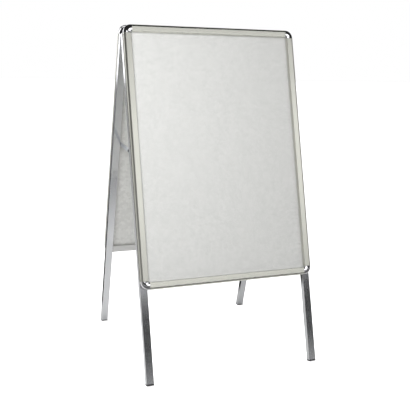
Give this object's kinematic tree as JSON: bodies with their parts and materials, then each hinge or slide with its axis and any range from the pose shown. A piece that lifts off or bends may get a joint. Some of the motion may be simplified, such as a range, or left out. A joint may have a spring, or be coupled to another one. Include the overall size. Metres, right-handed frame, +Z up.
{
  "type": "sandwich board",
  "caption": "Free-standing double-sided folding sandwich board: two snap-open poster frames with rounded corners on tube legs, hinged at the top.",
  "frame": {"origin": "on the floor, midway between the four feet", "axes": "+Z up, -Y out of the front board's face, +X across the board to the right as seen from the front"},
  "size_m": [0.624, 0.6358, 1.1453],
  "materials": {
    "rail_aluminium": "satin silver anodised",
    "profile_aluminium": "satin silver anodised",
    "leg_aluminium": "bright drawn, anodised",
    "corner_chrome": "polished plating on moulded corner",
    "cast_key": "as cast",
    "spring_steel": "oiled spring strip",
    "galvanised_sheet": "galvanised with fine spangle",
    "clear_cover": "clear flexible sheet, lightly matt front",
    "plug_plastic": "moulded, fine grain",
    "rivet_steel": "plated, domed",
    "zinc_steel": "bright zinc plated"
  },
  "bodies": {
    "front_board": {"front_base_top": "profile_aluminium", "front_base_bottom": "profile_aluminium", "front_base_left": "profile_aluminium", "front_base_right": "profile_aluminium", "front_corner_top_left": "corner_chrome", "front_corner_top_right": "corner_chrome", "front_corner_bottom_right": "corner_chrome", "front_corner_bottom_left": "corner_chrome", "front_corner_keys": "cast_key", "front_snap_springs": "spring_steel", "front_back_panel": "galvanised_sheet", "front_cover_sheet": "clear_cover", "front_rivets": "rivet_steel", "front_leg_caps": "plug_plastic", "front_leg_left": "leg_aluminium", "front_foot_left": "plug_plastic", "front_hinge_leaf_left": "zinc_steel", "front_leg_right": "leg_aluminium", "front_foot_right": "plug_plastic", "front_hinge_leaf_right": "zinc_steel", "hinge_pins": "rivet_steel", "front_stay_pivots": "rivet_steel"},
    "back_board": {"back_base_top": "profile_aluminium", "back_base_bottom": "profile_aluminium", "back_base_left": "profile_aluminium", "back_base_right": "profile_aluminium", "back_corner_top_right": "corner_chrome", "back_corner_top_left": "corner_chrome", "back_corner_bottom_left": "corner_chrome", "back_corner_bottom_right": "corner_chrome", "back_corner_keys": "cast_key", "back_snap_springs": "spring_steel", "back_back_panel": "galvanised_sheet", "back_cover_sheet": "clear_cover", "back_rivets": "rivet_steel", "back_leg_caps": "plug_plastic", "back_leg_left": "leg_aluminium", "back_foot_left": "plug_plastic", "back_hinge_leaf_left": "zinc_steel", "back_leg_right": "leg_aluminium", "back_foot_right": "plug_plastic", "back_hinge_leaf_right": "zinc_steel", "back_stay_pivots": "rivet_steel"},
    "front_snap_rail_top": {"front_snap_rail_top": "rail_aluminium"},
    "front_snap_rail_bottom": {"front_snap_rail_bottom": "rail_aluminium"},
    "front_snap_rail_left": {"front_snap_rail_left": "rail_aluminium"},
    "front_snap_rail_right": {"front_snap_rail_right": "rail_aluminium"},
    "back_snap_rail_top": {"back_snap_rail_top": "rail_aluminium"},
    "back_snap_rail_bottom": {"back_snap_rail_bottom": "rail_aluminium"},
    "back_snap_rail_left": {"back_snap_rail_left": "rail_aluminium"},
    "back_snap_rail_right": {"back_snap_rail_right": "rail_aluminium"},
    "front_stay_link_left": {"front_stay_link_left": "zinc_steel", "front_stay_rivet_left": "rivet_steel"},
    "back_stay_link_left": {"back_stay_link_left": "zinc_steel", "back_stay_rivet_left": "rivet_steel"},
    "front_stay_link_right": {"front_stay_link_right": "zinc_steel", "front_stay_rivet_right": "rivet_steel"},
    "back_stay_link_right": {"back_stay_link_right": "zinc_steel", "back_stay_rivet_right": "rivet_steel"}
  },
  "joints": [
    {"name": "board_hinge", "type": "hinge", "parent": "front_board", "child": "back_board", "pos_m": [0, 0, 1.10518], "axis": [-1, 0, 0], "range_deg": [0, 30]},
    {"name": "front_rail_top_snap", "type": "hinge", "parent": "front_board", "child": "front_snap_rail_top", "pos_m": [0, -0.02171, 1.13853], "axis": [-1, 0, 0], "range_deg": [0, 90], "stiffness_Nm_per_rad": 0.2, "springref_deg": -14.32},
    {"name": "front_rail_bottom_snap", "type": "hinge", "parent": "front_board", "child": "front_snap_rail_bottom", "pos_m": [0, -0.24434, 0.30764], "axis": [1, 0, 0], "range_deg": [0, 90], "stiffness_Nm_per_rad": 0.2, "springref_deg": -14.32},
    {"name": "front_rail_left_snap", "type": "hinge", "parent": "front_board", "child": "front_snap_rail_left", "pos_m": [-0.3066, -0.13303, 0.72308], "axis": [0, -0.2588, -0.9659], "range_deg": [0, 90], "stiffness_Nm_per_rad": 0.2, "springref_deg": -14.32},
    {"name": "front_rail_right_snap", "type": "hinge", "parent": "front_board", "child": "front_snap_rail_right", "pos_m": [0.3066, -0.13303, 0.72308], "axis": [0, 0.2588, 0.9659], "range_deg": [0, 90], "stiffness_Nm_per_rad": 0.2, "springref_deg": -14.32},
    {"name": "back_rail_top_snap", "type": "hinge", "parent": "back_board", "child": "back_snap_rail_top", "pos_m": [0, 0.02171, 1.13853], "axis": [1, 0, 0], "range_deg": [0, 90], "stiffness_Nm_per_rad": 0.2, "springref_deg": -14.32},
    {"name": "back_rail_bottom_snap", "type": "hinge", "parent": "back_board", "child": "back_snap_rail_bottom", "pos_m": [0, 0.24434, 0.30764], "axis": [-1, 0, 0], "range_deg": [0, 90], "stiffness_Nm_per_rad": 0.2, "springref_deg": -14.32},
    {"name": "back_rail_left_snap", "type": "hinge", "parent": "back_board", "child": "back_snap_rail_left", "pos_m": [-0.3066, 0.13303, 0.72308], "axis": [0, -0.2588, 0.9659], "range_deg": [0, 90], "stiffness_Nm_per_rad": 0.2, "springref_deg": -14.32},
    {"name": "back_rail_right_snap", "type": "hinge", "parent": "back_board", "child": "back_snap_rail_right", "pos_m": [0.3066, 0.13303, 0.72308], "axis": [0, 0.2588, -0.9659], "range_deg": [0, 90], "stiffness_Nm_per_rad": 0.2, "springref_deg": -14.32},
    {"name": "front_stay_left", "type": "hinge", "parent": "front_board", "child": "front_stay_link_left", "pos_m": [-0.2845, -0.11224, 0.7346], "axis": [-1, 0, 0], "range_deg": [0, 93.55]},
    {"name": "back_stay_left", "type": "hinge", "parent": "back_board", "child": "back_stay_link_left", "pos_m": [-0.2845, 0.11224, 0.7346], "axis": [1, 0, 0], "range_deg": [0, 93.55]},
    {"name": "front_stay_right", "type": "hinge", "parent": "front_board", "child": "front_stay_link_right", "pos_m": [0.2845, -0.11224, 0.7346], "axis": [-1, 0, 0], "range_deg": [0, 93.55]},
    {"name": "back_stay_right", "type": "hinge", "parent": "back_board", "child": "back_stay_link_right", "pos_m": [0.2845, 0.11224, 0.7346], "axis": [1, 0, 0], "range_deg": [0, 93.55]}
  ],
  "couplings": [
    {"joint": "front_stay_left", "follows": "board_hinge", "ratio": 3.118},
    {"joint": "back_stay_left", "follows": "board_hinge", "ratio": 3.118},
    {"joint": "front_stay_right", "follows": "board_hinge", "ratio": 3.118},
    {"joint": "back_stay_right", "follows": "board_hinge", "ratio": 3.118}
  ]
}
